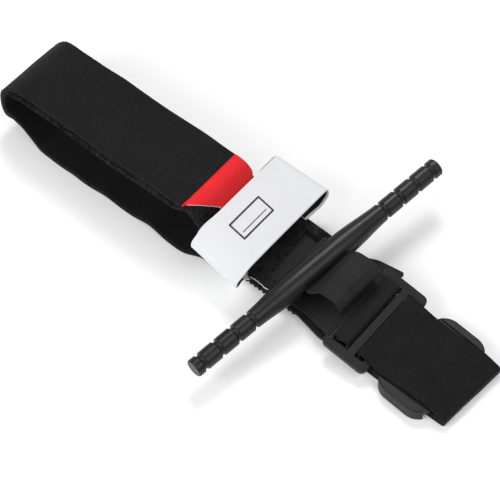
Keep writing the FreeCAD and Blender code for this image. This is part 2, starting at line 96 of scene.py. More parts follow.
# ---- camera and light, in millimetres, metres and watts --------------------------------
CAMERA_LENS = 154.9
CAMERA_PLACE = (355.39, -421.69, 838.67)
CAMERA_TARGET = (5.30, -4.47, 0.0)
# (name, place in metres, diameter in metres, power in watts)
LIGHTS = (("key", (-0.35, -1.2, 0.9), 1.1, 12.8),
          ("back", (-0.55, 0.7, 1.3), 0.5, 8.4),
          ("right", (0.9, 0.1, 1.2), 0.9, 4.8))
WORLD_STRENGTH = 0.33
FLOOR_GLOW = 0.18
FLOOR_HALF = 4000

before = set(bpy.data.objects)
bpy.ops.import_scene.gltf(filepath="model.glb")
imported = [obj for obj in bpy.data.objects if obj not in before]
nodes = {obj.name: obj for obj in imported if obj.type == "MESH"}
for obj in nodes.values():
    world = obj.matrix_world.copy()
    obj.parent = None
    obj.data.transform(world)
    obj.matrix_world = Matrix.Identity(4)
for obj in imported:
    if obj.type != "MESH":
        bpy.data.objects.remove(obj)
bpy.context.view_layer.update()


# ---- camera ---------------------------------------------------------------------
def make_camera():
    """Long lens from the front right, 57 degrees above the floor."""
    data = bpy.data.cameras.new("camera")
    data.lens = CAMERA_LENS
    data.sensor_width = 36.0
    data.clip_end = 20.0
    camera = bpy.data.objects.new("camera", data)
    bpy.context.scene.collection.objects.link(camera)
    target = Vector(CAMERA_TARGET) * MM
    place = Vector(CAMERA_PLACE) * MM
    camera.location = place
    camera.rotation_mode = "QUATERNION"
    camera.rotation_quaternion = (target - place).to_track_quat("-Z", "Y")
    bpy.context.scene.camera = camera


make_camera()


# ---- curves ----------------------------------------------------------------------
def clamp(value):
    """The value, held between 0 and 1."""
    return min(max(value, 0.0), 1.0)


def ease(x, x0, x1, a=0.0, b=1.0):
    """Smooth step from a to b as x goes from x0 to x1."""
    t = clamp((x - x0) / (x1 - x0))
    return a + (b - a) * t * t * (3 - 2 * t)


def bump(x, x0, x1, x2, x3):
    """0 outside x0 to x3, 1 between x1 and x2, smooth between."""
    return ease(x, x0, x1) * (1 - ease(x, x2, x3))


def hill(x, place, reach):
    """Bell curve, 1 at place."""
    return math.exp(-((x - place) / reach) ** 2)


def band_y(x):
    """Middle of the band across."""
    if x < 30:
        return ease(x, -22, 16, LOOP_Y, BASE_Y)
    return ease(x, 45, 95, BASE_Y, RIGHT_Y)


def unit(a, b):
    """Direction from a to b."""
    d = Vector((b[0] - a[0], b[1] - a[1]))
    return d.normalized()


def turned(d, angle):
    """Direction d turned to the left by angle."""
    c, s = math.cos(angle), math.sin(angle)
    return Vector((d.x * c - d.y * s, d.x * s + d.y * c))


def left_of(d):
    return Vector((-d.y, d.x))


def route(points, radii, step=1.0):
    """Samples (place, normal, distance) of a polyline with rounded corners.

    The normal is on the left of the direction of travel."""
    out = []
    distance = 0.0
    last = Vector(points[0])

    def run_to(end, d, count_last):
        nonlocal distance, last
        length = (end - last).length
        n = max(1, round(length / step))
        for i in range(n + (1 if count_last else 0)):
            place = last + (end - last) * (i / n)
            out.append((place, left_of(d), distance + length * i / n))
        distance += length
        last = end

    for i in range(1, len(points) - 1):
        d0 = unit(points[i - 1], points[i])
        d1 = unit(points[i], points[i + 1])
        turn = math.atan2(d0.x * d1.y - d0.y * d1.x, d0.dot(d1))
        r = radii[i - 1]
        back = r * math.tan(abs(turn) / 2)
        corner = Vector(points[i])
        run_to(corner - d0 * back, d0, False)
        side = math.copysign(1, turn)
        centre = last + left_of(d0) * r * side
        n = max(3, round(abs(turn) * max(r, 1.2) / step), round(abs(turn) / 0.16))
        for k in range(n):
            a = turn * k / n
            left = left_of(turned(d0, a))
            out.append((centre - left * r * side, left, distance + r * abs(a)))
        distance += r * abs(turn)
        last = corner + d1 * back
    run_to(Vector(points[-1]), unit(points[-2], points[-1]), True)
    return out


# ---- how the cloth lies -----------------------------------------------------------
def lean(p):
    """The base leans about its near bottom edge."""
    y, z = p[1] - ROLL_Y, p[2] - PLATE_Z
    c, s = math.cos(ROLL), math.sin(ROLL)
    return Vector((p[0], ROLL_Y + y * c - z * s, PLATE_Z + y * s + z * c))


def lower_run_lift(x, y, near, low):
    """How far the lower run stands off the floor: its open end, slack waves and creases."""
    lift = 9.0 * bump(x, -133, -123, -120, -107) * near ** 1.6 * low
    lift += 0.9 * hill(x, -111, 3.5) * near * low
    for place, reach, height in SLACK_WAVES:
        lift += height * hill(x, place, reach) * near ** 2 * low
    for place, slant, reach, height, span in CREASES:
        lift += height * hill(x - slant * (y - CREASE_Y), place, reach) * low * bump(y, *span)
    return lift


def top_sag(x, t, near, high):
    """How far the top hangs between its edges, and the curl of its far corner at the open end."""
    sag = 2.6 * (1 - ease(x, -133, -121)) * (1 - near) ** 3
    sag += 1.3 * bump(x, -124, -112, -100, -84) * (1 - near) ** 2
    wavy = 0.5 * (1 - t * t) + 0.35 * math.sin(x / 17.0 + 0.6)
    sag += wavy * bump(x, -118, -100, -24, -14)
    return high * sag


def lie(p):
    """Moves a point of the straight band to where the real cloth lies."""
    x, y, z = p
    t = (y - band_y(x)) / BAND_HALF
    near = clamp((1 - t) / 2)
    far = clamp((1 + t) / 2)
    low = 1 - ease(z, 5, 24)
    high = ease(z, 20, 33)
    lift = lower_run_lift(x, y, near, low) - top_sag(x, t, near, high)
    # under the leaning plate
    rise = max(y - ROLL_Y, 0) * math.sin(ROLL)
    lift += rise * bump(x, 0, 8, 62, 80) * (1 - ease(z, 3.2, 8))
    # the sleeve's end leans with the base, its near edge droops and its far edge curls up
    over = bump(x, -6, 12, 40, 60) * ease(z, 3.2, 5.5) * (1 - ease(z, 12, 22))
    lift += over * (rise - 1.9 * near ** 3 + 0.7 * far ** 3)
    # the fold and the sleeve's end aren't quite square to the band, and the open end reaches further
    skew = (y - RIGHT_Y) * 0.075 * ease(x, 96, 128)
    skew -= (y - BASE_Y) * 0.055 * over * bump(x, 16, 22, 26, 34)
    skew -= 0.6 * (1 - ease(x, -131, -108))
    slack = 0.35 * math.sin(x / 11.0 + z / 9.0) * bump(x, -131, -120, -40, -24)
    slack -= 1.5 * near * low * bump(x, -136, -124, -3, 10)
    return Vector((x + skew, y + slack, max(z + lift, 0.0)))


def lie_inner(p):
    """The inner lap peels off the outer one along the top of its near edge."""
    q = lie(p)
    near = clamp((band_y(p.x) - p.y) / BAND_HALF)
    peel = near ** 5 * ease(p.z, 22, 32) * bump(p.x, -131, -120, -26, -14)
    return q - Vector((0, 1.2, 2.7)) * peel


def metres(p):
    return Vector(p) * MM


# ---- meshes -------------------------------------------------------------------------
def new_object(name, verts, faces, uvs=None, smooth=True):
    """Mesh object. A name that a CAD node has already gets "_detail" added."""
    if name in nodes:
        name += "_detail"
    mesh = bpy.data.meshes.new(name)
    mesh.from_pydata([metres(v) for v in verts], [], faces)
    if uvs:
        layer = mesh.uv_layers.new(name="cloth")
        for loop in mesh.loops:
            layer.data[loop.index].uv = uvs[loop.vertex_index]
    mesh.polygons.foreach_set("use_smooth", [smooth] * len(mesh.polygons))
    mesh.validate()
    shell = bmesh.new()
    shell.from_mesh(mesh)
    bmesh.ops.recalc_face_normals(shell, faces=shell.faces)
    shell.to_mesh(mesh)
    shell.free()
    obj = bpy.data.objects.new(name, mesh)
    bpy.context.scene.collection.objects.link(obj)
    return obj


def ring(across, edge=0.012):
    """Outline of a strip's section: (place across from -1 to 1, depth from 0 to 1)."""
    ts = [-1 + edge + (2 - 2 * edge) * i / (across - 1) for i in range(across)]
    top = [(t, 0.0) for t in ts]
    far = [(1 - edge * 0.15, 0.2), (1.0, 0.5), (1 - edge * 0.15, 0.8)]
    under = [(t, 1.0) for t in reversed(ts)]
    near = [(-t, d) for t, d in reversed(far)]
    return top + far + under + near


def strip(name, samples, half, thick, settle, middle, relief=None, across=40, trim=None):
    """Closed strip of cloth whose outer face follows the samples.

    settle moves each point to where it lies, middle(x) is the strip's middle across,
    relief(distance, across) raises the faces, and trim(distance, t) narrows the strip."""
    section = ring(across)
    verts = []
    uvs = []
    for place, normal, distance in samples:
        for t, depth in section:
            tt = trim(distance, t) if trim else t
            rise = relief(distance, tt) if relief else 0.0
            outward = -depth * thick + rise * (1 - 2 * depth)
            x = place.x + normal.x * outward
            z = place.y + normal.y * outward
            verts.append(settle(Vector((x, middle(x) + tt * half, z))))
            uvs.append((distance * 0.01, tt * half * 0.01 + (0.5 if depth > 0.5 else 0)))
    n = len(section)
    faces = []
    for i in range(len(samples) - 1):
        for j in range(n):
            k = (j + 1) % n
            faces.append((i * n + j, i * n + k, (i + 1) * n + k, (i + 1) * n + j))
    last = (len(samples) - 1) * n
    faces += caps(0, across, n) + [tuple(reversed(f)) for f in caps(last, across, n)]
    return new_object(name, verts, faces, uvs)


def caps(start, across, n):
    """Quads that close one end of a strip."""
    out = []
    for j in range(across - 1):
        a, b = j, j + 1
        c, d = n - 4 - b, n - 4 - a
        out.append((start + b, start + a, start + d, start + c))
    out.append(tuple(start + k for k in (across + 3, across + 2, across + 1, across, across - 1)))
    out.append(tuple(start + k for k in (0, n - 1, n - 2, n - 3, n - 4)))
    return out


def tube_stitches(name, ends, radius, sides=6):
    """Plump stitches, one between each pair of points."""
    verts = []
    faces = []
    for p, q in ends:
        along = q - p
        side = along.cross(Vector((0.3, 0.2, 1))).normalized()
        up = side.cross(along).normalized()
        start = len(verts)
        stations = ((0.0, 0.35), (0.12, 0.85), (0.5, 1.0), (0.88, 0.85), (1.0, 0.35))
        for f, r in stations:
            for k in range(sides):
                a = 2 * math.pi * k / sides
                verts.append(p + along * f + (side * math.cos(a) + up * math.sin(a)) * radius * r)
        for i in range(len(stations) - 1):
            for k in range(sides):
                m = (k + 1) % sides
                faces.append((start + i * sides + k, start + i * sides + m,
                              start + (i + 1) * sides + m, start + (i + 1) * sides + k))
        faces.append(tuple(start + k for k in reversed(range(sides))))
        faces.append(tuple(start + (len(stations) - 1) * sides + k for k in range(sides)))
    return new_object(name, verts, faces)


# ---- materials ------------------------------------------------------------------------
class Shade:
    """A small helper that builds one node material."""

    def __init__(self, name):
        self.material = bpy.data.materials.new(name)
        self.material.use_nodes = True
        self.tree = self.material.node_tree
        self.tree.nodes.clear()
        self.out = self.tree.nodes.new("ShaderNodeOutputMaterial")
        self.shader = self.tree.nodes.new("ShaderNodeBsdfPrincipled")
        self.tree.links.new(self.shader.outputs[0], self.out.inputs[0])

    def node(self, kind, **sockets):
        made = self.tree.nodes.new(kind)
        for key, value in sockets.items():
            if hasattr(value, "is_output"):
                self.tree.links.new(value, made.inputs[key])
            elif key in made.inputs:
                made.inputs[key].default_value = value
            else:
                setattr(made, key, value)
        return made

    def math(self, operation, a, b=0.0):
        made = self.tree.nodes.new("ShaderNodeMath")
        made.operation = operation
        for i, value in enumerate((a, b)):
            if hasattr(value, "is_output"):
                self.tree.links.new(value, made.inputs[i])
            else:
                made.inputs[i].default_value = value
        return made.outputs[0]

    def ramp(self, value, stops):
        made = self.tree.nodes.new("ShaderNodeValToRGB")
        elements = made.color_ramp.elements
        while len(elements) < len(stops):
            elements.new(0.5)
        for element, (place, colour) in zip(elements, stops):
            element.position = place
            element.color = (*colour, 1)
        self.tree.links.new(value, made.inputs[0])
        return made.outputs[0]

    def spots(self, vector, scale, detail=3.0, roughness=0.6):
        made = self.node("ShaderNodeTexNoise", Scale=scale, Detail=detail, Roughness=roughness)
        self.tree.links.new(vector, made.inputs["Vector"])
        return made.outputs["Fac"]

    def set(self, **sockets):
        for key, value in sockets.items():
            socket = self.shader.inputs[key.replace("_", " ")]
            if hasattr(value, "is_output"):
                self.tree.links.new(value, socket)
            else:
                socket.default_value = value

    def bump(self, height, strength, distance):
        made = self.node("ShaderNodeBump", Strength=strength, Distance=distance)
        self.tree.links.new(height, made.inputs["Height"])
        self.tree.links.new(made.outputs[0], self.shader.inputs["Normal"])


def cloth_places(shade):
    """Places on the cloth, along and across, in millimetres."""
    uv = shade.node("ShaderNodeTexCoord").outputs["UV"]
    parts = shade.node("ShaderNodeSeparateXYZ", Vector=uv)
    along = shade.math("MULTIPLY", parts.outputs[0], 100.0)
    over = shade.math("MULTIPLY", parts.outputs[1], 100.0)
    return along, over


def yarns(shade, along, over, pitch_along, pitch_over):
    """Plain weave: yarns that pass over and under each other, as a height from 0 to 1."""
    a = shade.math("SINE", shade.math("MULTIPLY", along, math.pi / pitch_along))
    b = shade.math("SINE", shade.math("MULTIPLY", over, math.pi / pitch_over))
    return shade.math("ADD", shade.math("MULTIPLY", shade.math("MULTIPLY", a, b), 0.5), 0.5)


def cloth_material(name, dark, light, pitch, rough, sheen=0.15, pile=0.0, weave=0.35, specks=0.0,
                   sheen_tint=(0.6, 0.6, 0.65), specular=0.18, figure=0.2, contrast=1.0):
    """Woven cloth with yarns, colour drift, optional pile and pale specks of lint.

    pitch is the yarns' spacing in millimetres, along and across, pile and weave are the relief of
    the pile and of the yarns, and figure is how much the yarns show in the colour."""
    shade = Shade(name)
    along, over = cloth_places(shade)
    weave_height = yarns(shade, along, over, *pitch)
    place = shade.node("ShaderNodeTexCoord").outputs["Object"]
    drift = shade.spots(place, 45.0, 4.0)
    fine = shade.spots(place, 2600.0, 2.0, 0.7)
    blotch = shade.spots(place, 620.0, 3.0, 0.65)
    tone = shade.math("ADD", shade.math("MULTIPLY", drift, 0.3), shade.math("MULTIPLY", blotch, 0.35))
    tone = shade.math("ADD", tone, shade.math("MULTIPLY", weave_height, figure))
    tone = shade.math("ADD", tone, shade.math("MULTIPLY", fine, 0.35 - figure))
    colour = shade.ramp(tone, ((0.5 - 0.2 / contrast, dark), (0.5 + 0.22 / contrast, light)))
    if specks:
        lint = shade.spots(place, 900.0, 1.0, 0.4)
        mask = shade.ramp(lint, ((0.765, (0, 0, 0)), (0.80, (1, 1, 1))))
        mix = shade.node("ShaderNodeMix", data_type="RGBA")
        shade.tree.links.new(shade.math("MULTIPLY", mask, specks), mix.inputs[0])
        shade.tree.links.new(colour, mix.inputs[6])
        mix.inputs[7].default_value = (0.16, 0.16, 0.165, 1)
        colour = mix.outputs[2]
    shade.set(Base_Color=colour)
    shade.set(Roughness=shade.math("ADD", shade.math("MULTIPLY", drift, rough[1] - rough[0]), rough[0]))
    shade.set(Sheen_Weight=sheen, Sheen_Roughness=0.45, Sheen_Tint=(*sheen_tint, 1))
    shade.set(Specular_IOR_Level=specular)
    height = shade.math("MULTIPLY", weave_height, weave)
    if pile:
        hairs = shade.spots(place, 1500.0, 3.0, 0.75)
        height = shade.math("ADD", height, shade.math("MULTIPLY", hairs, pile))
    else:
        height = shade.math("ADD", height, shade.math("MULTIPLY", fine, 0.15))
    shade.bump(height, strength=0.8, distance=0.25 * MM)
    return shade.material


def plastic_material(name, dark, light, rough, specular):
    """Moulded plastic: fine spark grain, cloudy gloss and faint scuffs."""
    shade = Shade(name)
    place = shade.node("ShaderNodeTexCoord").outputs["Object"]
    cloud = shade.spots(place, 60.0, 4.0)
    grains = shade.spots(place, 3200.0, 2.0, 0.6)
    scuffs = shade.spots(place, 420.0, 5.0, 0.8)
    shade.set(Base_Color=shade.ramp(cloud, ((0.35, dark), (0.7, light))))
    roughness = shade.math("ADD", shade.math("MULTIPLY", cloud, 0.16), rough - 0.08)
    roughness = shade.math("ADD", roughness, shade.math("MULTIPLY", scuffs, 0.1))
    shade.set(Roughness=roughness, Specular_IOR_Level=specular)
    height = shade.math("ADD", shade.math("MULTIPLY", grains, 0.6), shade.math("MULTIPLY", scuffs, 0.4))
    shade.bump(height, strength=0.25, distance=0.15 * MM)
    return shade.material


def grey(level, blue=0.0):
    """Neutral colour, a little bluer by blue."""
    return level, level, level + blue


PILE = cloth_material("loop_pile", grey(0.0055, 0.0005), grey(0.017, 0.001), (0.6, 0.6), (0.85, 1.0),
                      sheen=0.06, pile=1.0, weave=0.2, specks=0.2, figure=0.05, contrast=1.7)
NAP = cloth_material("napped_pile", grey(0.0015, 0.0005), grey(0.03), (0.9, 0.9), (0.9, 1.0),
                     sheen=0.08, pile=3.2, weave=0.05, specks=0.2, figure=0.0, contrast=4.0)
WOVEN = cloth_material("band_woven", grey(0.004, 0.0005), grey(0.013, 0.001), (0.5, 0.5), (0.7, 0.85),
                       sheen=0.05)
WEB = cloth_material("webbing", grey(0.010, 0.0005), grey(0.028, 0.002), (0.45, 0.9), (0.5, 0.68),
                     sheen=0.04, weave=0.9)
# The same webbing as WEB, made darker with the hump's shade painted in, for the sewn flap by the buckle.
WEB_PAINTED_SHADE = cloth_material("webbing_painted_shade", grey(0.006, 0.0005), (0.017, 0.0165, 0.0185), (0.45, 0.9),
                      (0.6, 0.75), sheen=0.03, weave=0.9)
RIBBON = cloth_material("ribbon", grey(0.0035, -0.0001), grey(0.019, -0.0012), (0.42, 1.1), (0.42, 0.6),
                        sheen=0.04, weave=1.0, specular=0.3, figure=0.3, contrast=1.4)
RED = cloth_material("red_cloth", (0.80, 0.016, 0.023), (0.93, 0.03, 0.038), (0.5, 0.5), (0.6, 0.75),
                     sheen=0.05, weave=0.2, specks=0.5, sheen_tint=(1.0, 0.5, 0.5), figure=0.08)
WHITE = cloth_material("white_cloth", (0.80, 0.805, 0.83), (0.86, 0.865, 0.885), (0.45, 0.45),
                       (0.6, 0.75), sheen=0.05, weave=0.12, sheen_tint=(1, 1, 1), figure=0.05)
HOOK = cloth_material("hook_tape", grey(0.003, 0.0005), grey(0.02, 0.002), (1.1, 1.1), (0.7, 0.9),
                      sheen=0.06, pile=1.6, weave=1.2)
THREAD = cloth_material("black_thread", grey(0.005), grey(0.014), (0.3, 0.3), (0.6, 0.75))
PALE_THREAD = cloth_material("white_thread", grey(0.6), grey(0.75), (0.3, 0.3), (0.5, 0.6))
RULE = cloth_material("printed_rule", grey(0.035, 0.005), grey(0.06, 0.005), (0.45, 0.45), (0.6, 0.75))
ROD = plastic_material("rod_plastic", grey(0.007, 0.0005), grey(0.012, 0.0005), 0.33, 0.37)
BUCKLE = plastic_material("buckle_plastic", grey(0.008, 0.0005), grey(0.013, 0.001), 0.45, 0.32)
PLATE = plastic_material("plate_plastic", grey(0.005, 0.0005), grey(0.010, 0.0005), 0.55, 0.25)


def dress(obj, material, slot, *stands_for):
    """Gives a piece its material and hides the CAD nodes that it stands for. slot is not used."""
    obj.data.materials.clear()
    obj.data.materials.append(material)
    if stands_for:
        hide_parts(*stands_for)


def dress_node(name, material):
    """Gives a CAD node, shown as it is, its material."""
    obj = nodes[name]
    obj.data.materials.clear()
    obj.data.materials.append(material)


# ---- the two laps of the band -----------------------------------------------------------
def selvedge(distance, t):
    """A raised edge, and the groove of the seam inside it."""
    edge = abs(t)
    ridge = 0.10 * ease(edge, 0.93, 0.97)
    groove = -0.10 * hill(edge, 0.90, 0.012)
    return ridge + groove


def loop_relief(distance, t):
    """Slow, shallow unevenness of the napped band, and its edges."""
    rough = noise.noise(Vector((distance * 0.045, t * 1.6, 3.1)))
    return selvedge(distance, t) + 0.16 * rough


def slope_point(distance):
    """Point of the slope's outer face, distance below its top."""
    return Vector(SLOPE_TOP) + unit(SLOPE_TOP, SLOPE_FOOT) * distance


def make_tail_band():
    """Outer lap from the fold, along the floor, round the open end, to the red end."""
    points = [(FOLD_X, 2.7), (FOLD_X, 0), (LOOP_X, 0), (LOOP_X, LOOP_H), (TIP_X, LOOP_H)]
    samples = route(points, [2.0, LOOP_R, LOOP_R])
    end = samples[-1][2]

    def relief(distance, t):
        return loop_relief(distance, t) - 0.25 * ease(distance, end - 2.5, end - 0.5)

    obj = strip("tail_band", samples, BAND_HALF, BAND_T, lie, band_y, relief)
    dress(obj, PILE, "loop_pile", "tail_band")
    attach(obj, "base")


def make_tail_lap():
    """The tail from under the buckle's free bar, round it and over the clip to the fold."""
    bar_z = BUCKLE_Z - math.sin(BUCKLE_PITCH) * (FREE_BAR_X + 2)
    left = BUCKLE_X + FREE_BAR_X * math.cos(BUCKLE_PITCH) - 4.7
    under = PLATE_Z + 0.15
    over = bar_z + 3.0
    points = [(104, under), (left, under), (left, over), (100, over - 1.2),
              (TAIL_BREAK_X - 12, TAIL_TOP_Z), (TAIL_BREAK_X, TAIL_TOP_Z), (FOLD_X, FOLD_H), (FOLD_X, 2.6)]
    samples = route(points, [2.2, 1.6, 30, 30, 12, 1.9])

    def settle(p):
        held = 1 - ease(p.x, 94, 110)
        return lie(p) * (1 - held) + lean(p) * held

    def middle(x):
        return band_y(x) + 1.1 * (1 - ease(x, 82, 100))

    obj = strip("tail_lap", samples, BAND_HALF, BAND_T, settle, middle, loop_relief)
    dress(obj, PILE, "loop_pile", "band_turn")
    metres((94, 0, 6))
    metres((108, 0, 6))
    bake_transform(obj)


def main_route(depth):
    """Samples of the inner lap's route, depth below its outer face."""
    inset = BAND_T + LAP + depth
    turn = FOLD_X - 1.75 - depth
    lap_z = 4.1 - depth
    foot_z = 8.1 - depth
    down = unit(SLOPE_TOP, SLOPE_FOOT)
    tan_half = math.tan(math.atan2(-down.y, down.x) / 2)
    top = Vector((SLOPE_TOP[0] - inset * tan_half, LOOP_H - inset))
    start = Vector(SLOPE_TOP) + Vector((down.y, -down.x)) * inset
    foot = start + down * ((start.y - foot_z) / -down.y)
    points = [(104, lap_z), (turn, lap_z), (turn, inset), (LOOP_X + inset, inset),
              (LOOP_X + inset, LOOP_H - inset), tuple(top), tuple(foot), (SLIT_X, foot_z)]
    fold_r = 1.37 - depth
    end_r = LOOP_R - inset
    radii = [fold_r, fold_r, end_r, end_r, SLOPE_R - inset, SLOPE_R + inset]
    return route(points, [max(r, 0.3) for r in radii])


def make_main_band():
    """Inner lap: two plies sewn along their edges with the inner ribbon between them."""
    def relief(distance, t):
        return loop_relief(distance, t) * 0.5

    def build(name, depth, thick, half, material, *stands_for):
        samples = main_route(depth)
        obj = strip(name, samples, half, thick, lie_inner, band_y, relief, across=32)
        dress(obj, material, "band_fabric", *stands_for)
        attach(obj, "base")

    build("band_outer_ply", 0.0, PLY_T, BAND_HALF, NAP, "main_band", "sleeve_cover")
    build("band_inner_ply", BAND_T - PLY_T, PLY_T, BAND_HALF - 0.25, WOVEN)
    build("inner_ribbon", PLY_T + 0.04, 0.17, 14.0, RIBBON, "inner_ribbon")


def make_sleeve_rims():
    """The sewn margins of the sleeve run on beside the ribbon, up to the rod."""
    samples = route([(SLIT_X - 1.2, 7.9), (30, 7.7), (38, 7.0)], [30], 0.7)
    for name, y in (("sleeve_rim_near", BASE_Y - 16.5), ("sleeve_rim_far", BASE_Y + 16.5)):
        obj = strip(name, samples, 2.45, 0.9, lie, lambda x: y, loop_relief, across=10)
        dress(obj, NAP, "loop_pile", "sleeve_cover")
        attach(obj, "base")


def make_red_tip():
    """Red end of the tail, tapered on its near side, tucked under the strap."""
    points = [(TIP_X - 0.4, LOOP_H + 0.05), SLOPE_TOP, tuple(slope_point(TIP_LEN))]
    samples = route(points, [SLOPE_R], 0.6)

    def trim(distance, t):
        near = -1 + 0.73 * min(distance / 15.0, 1.0)
        nose = math.sqrt(max(0.0, 1 - (max(0.0, distance - 12.0) / 9.0) ** 2))
        far = near + (1.0 - near) * nose
        return near + (t + 1) / 2 * (far - near)

    def relief(distance, t):
        return 0.12 + 0.12 * noise.noise(Vector((distance * 0.3, t * 2.5, 0.5)))

    hem = []
    for i in range(4, len(samples) - 8, 2):
        ends = []
        for place, normal, distance in (samples[i], samples[i + 2]):
            y = band_y(place.x) + trim(distance, -1) * BAND_HALF - 0.1
            ends.append(lie(Vector((place.x + normal.x * 0.1, y, place.y + normal.y * 0.1))))
        hem.append(ends)
    edge = tube_stitches("red_tip_hem", hem, 0.16)
    dress(edge, PALE_THREAD, "red_fabric")
    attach(edge, "base")
    obj = strip("red_tip", samples, BAND_HALF, BAND_T, lie, band_y, relief, trim=trim)
    dress(obj, RED, "red_fabric", "red_tip")
    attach(obj, "base")


# ---- the base: webbing, ribbon and buckle loop -------------------------------------------
def lean_low(p):
    """Leans with the base, with a slightly drooping near edge."""
    q = lean(p)
    near = clamp((BASE_Y - 8 - p.y) / 11)
    q.z -= 0.25 * near ** 2
    return q


def web_relief(distance, t):
    """Raised edges of the webbing, and the grooves inside them."""
    edge = abs(t)
    return 0.12 * ease(edge, 0.90, 0.94) - 0.12 * hill(edge, 0.88, 0.014)


def web_middle(x):
    """Middle of the base webbing across, which shifts towards the buckle."""
    return BASE_Y - 2.4 * ease(x, 45, 68)


def make_base_web():
    """Webbing that lies on the plate and climbs over the buckle's round bar."""
    top = WEB_Z + WEB_T
    points = [(WEB_X0, top), (51, top), (62.5, BUCKLE_Z + 1.6), (66.5, BUCKLE_Z + 2.9),
              (73.5, BUCKLE_Z + 2.3)]
    samples = route(points, [30, 12, 6])

    def settle(p):
        q = lean_low(p)
        near = clamp((web_middle(p.x) - 6 - p.y) / 13)
        q.z -= 3.0 * near ** 2 * bump(p.x, 50, 60, 67, 74)
        return q

    obj = strip("base_web", samples, BAND_HALF, 1.0, settle, web_middle, web_relief)
    dress(obj, WEB, "webbing_black", "base_web")
    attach(obj, "base")


LOOP_END_X = 1.2         # upper end of the buckle's webbing loop, from the round bar
LOOP_END_Z = 3.9


def make_buckle_loop():
    """Webbing from the base, over the round bar and back, sewn to itself."""
    low = BUCKLE_Z - ROUND_BAR_R - 0.35 - WEB_T
    nose = BUCKLE_X + 8.9
    points = [(BUCKLE_X + LOOP_END_X, BUCKLE_Z + LOOP_END_Z), (BUCKLE_X + 6.5, BUCKLE_Z + 3.2),
              (nose, BUCKLE_Z + 2.7), (nose, low), (WEB_X1 + 0.6, low)]
    samples = route(points, [12, 2.0, 2.0], 0.7)
    middle = BUCKLE_Y + 0.5
    obj = strip("buckle_loop", samples, BAND_HALF, WEB_T, lean_low, lambda x: middle, web_relief)
    # The flap wears the darker copy of the webbing: painted shade from the hump over it.
    dress(obj, WEB_PAINTED_SHADE, "webbing_black", "buckle_loop")
    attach(obj, "base")


def ribbon_relief(distance, t):
    """Slightly thicker edges of the ribbon."""
    return 0.06 * ease(abs(t), 0.93, 0.96)


def make_ribbon():
    """The tension ribbon in two runs that meet in the rod's slot."""
    low = WEB_Z + WEB_T + 1.0
    mid = ROD_Z + RIBBON_T / 2
    feed = [(WEB_X0 + 1, low), (ROD_X - 9.4, low), (ROD_X - 7.4, mid), (ROD_X + 0.4, mid)]
    hump = [(ROD_X - 0.4, mid), (ROD_X + 5.8, mid), (HUMP_X - 7.5, HUMP_Z - 0.2),
            (HUMP_X + 1.2, HUMP_Z + 1.0), (HUMP_X + 5.6, HUMP_Z - 4.2), (HUMP_X + 1.6, BUCKLE_Z + 3.4)]

    def settle(p):
        q = lean(p)
        t = (p.y - RIBBON_Y) / RIBBON_HALF
        loose = bump(p.x, 47, 60, 80, 90) * ease(p.z, 13, 22)
        sag = 7.5 * loose * ease(-t, 0.1, 1.25)
        return q + Vector((0.6 * loose * t - 0.35 * sag, 0.42 * sag, -0.84 * sag - 0.5 * t * t * loose))

    for name, points, radii, ends, window in (
            ("tension_ribbon", feed, [1.8, 1.8], ("base", "windlass"), (31.0, 37.0)),
            ("ribbon_hump", hump, [2.2, 5.0, 3.2, 4.0], ("windlass", "base"), (47.0, 66.0))):
        samples = route(points, radii, 0.6)
        obj = strip(name, samples, RIBBON_HALF, RIBBON_T, settle, lambda x: RIBBON_Y, ribbon_relief, 36)
        dress(obj, RIBBON, "ribbon_black", "tension_ribbon")
        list(ends)
        metres((window[0], 0, 12))
        metres((window[1], 0, 12))
        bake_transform(obj)


# ---- the writing strap ----------------------------------------------------------------------
# Route of the strap as (place across the base, height from the arch's top): from its sewn end,
# round the near fold, over the arch, round the far side and under the arch to its free end.
STRAP_POINTS = [(-17.2, -19.6), (-19.0, -19.5), (-31.2, -9.2), (-31.2, -5.0), (-21.0, -0.9), (-6.0, 0),
                (35.9, 0), (35.9, -7.5), (30.0, -10.6), (18.6, -8.2)]
STRAP_RADII = [1.2, 2.6, 3.8, 26, 60, 3.0, 4.0, 5.0]
STRAP_STEP = 0.7
STRAP_BEND = (0.33, 0.944)  # direction across and up of the line that strap_direction() follows
LINING_GAP = 0.03


def on_strap(p):
    """World place of a point of the strap: x runs across the base, y along the strap's width."""
    along, w, height = p.x, p.y, p.z
    c, s = math.cos(STRAP_PITCH), math.sin(STRAP_PITCH)
    left = 0.5 - w / (2 * STRAP_HALF)
    near = ease(-along, 10, 26)
    h = height + near * ease(-height, -1, 6) * (2.2 - 2.6 * left)
    h -= 0.5 * (2 * along / 60) ** 2 * ease(height, -6, -1)
    along += 1.5 * left * near - 4.5 * left * ease(along, 16, 36)
    x = STRAP_X + w * c - 1.1 * left * near + h * s * (1 - ease(-height, 0.5, 4))
    free = Vector((x, along, STRAP_Z - w * s + h * c))
    foot = lean(Vector((7.5 + w * 0.62, along, WEB_Z + 19.9 + height)))
    sewn = near * ease(-height, 8, 18)
    return free * (1 - sewn) + foot * sewn


def strap_direction(amount):
    """A point, in metres, of the line through the strap along STRAP_BEND."""
    c, s = math.cos(STRAP_PITCH), math.sin(STRAP_PITCH)
    y, h = amount * STRAP_BEND[0], amount * STRAP_BEND[1]
    return metres((STRAP_X + h * s, y, STRAP_Z + h * c))


